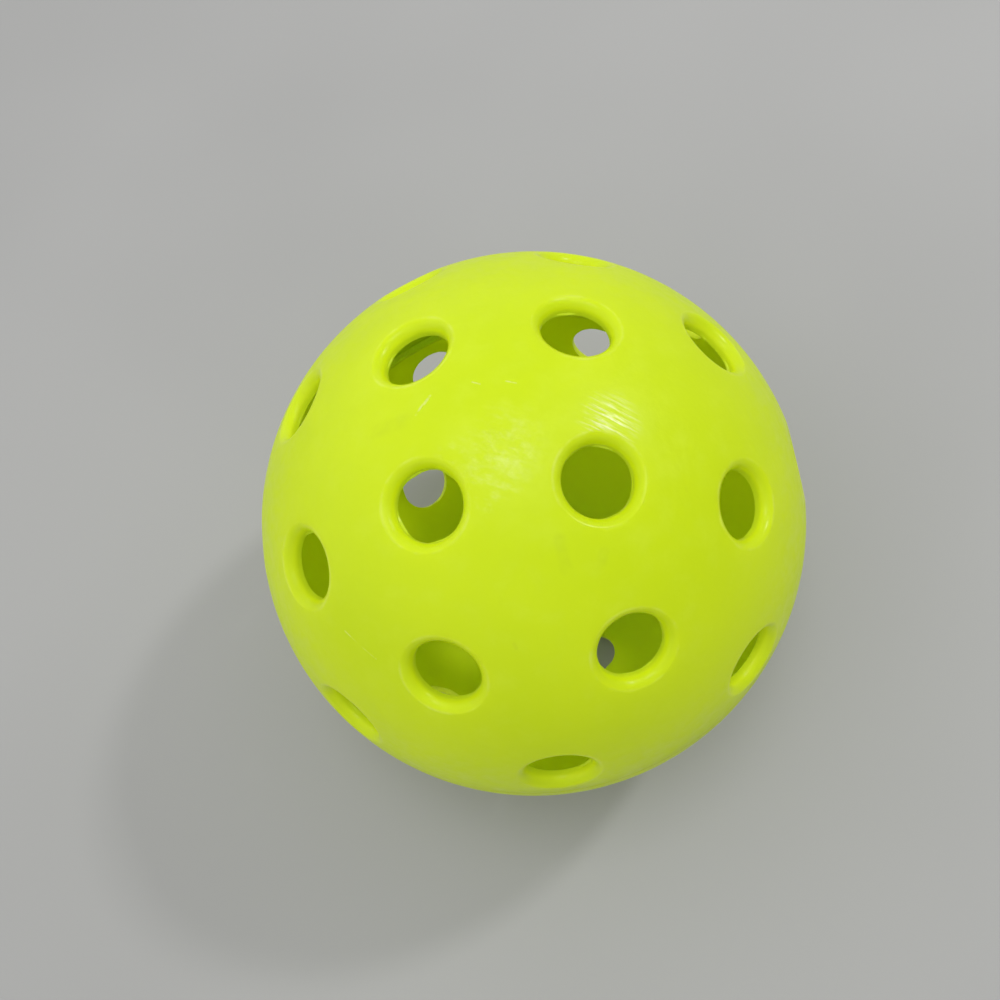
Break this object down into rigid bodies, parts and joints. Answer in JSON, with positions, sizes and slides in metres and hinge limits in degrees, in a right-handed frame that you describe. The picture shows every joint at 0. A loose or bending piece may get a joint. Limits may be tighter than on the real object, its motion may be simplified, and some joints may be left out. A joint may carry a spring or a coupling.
{
  "type": "pickleball ball",
  "caption": "Hollow perforated plastic ball with rings of flared round holes, made of half shells lapped and welded at the equator, for the court game pickleball.",
  "frame": {"origin": "centre of the ball", "axes": "+Z along the pole axis, through the middle of the upper half's pattern of holes; the seam's lap is centred on the XY plane; -Y is the side that the picture looks at, and the pattern is turned 8 degrees about the pole against the X axis"},
  "size_m": [0.074, 0.074, 0.074],
  "materials": {
    "shell": "satin, waxy yellow-green polyethylene, lightly scuffed",
    "weld": "satin polyethylene, melted and set again"
  },
  "bodies": {
    "root": {"upper_half_shell": "shell", "lower_half_shell": "shell", "weld_bead": "weld"}
  },
  "joints": []
}
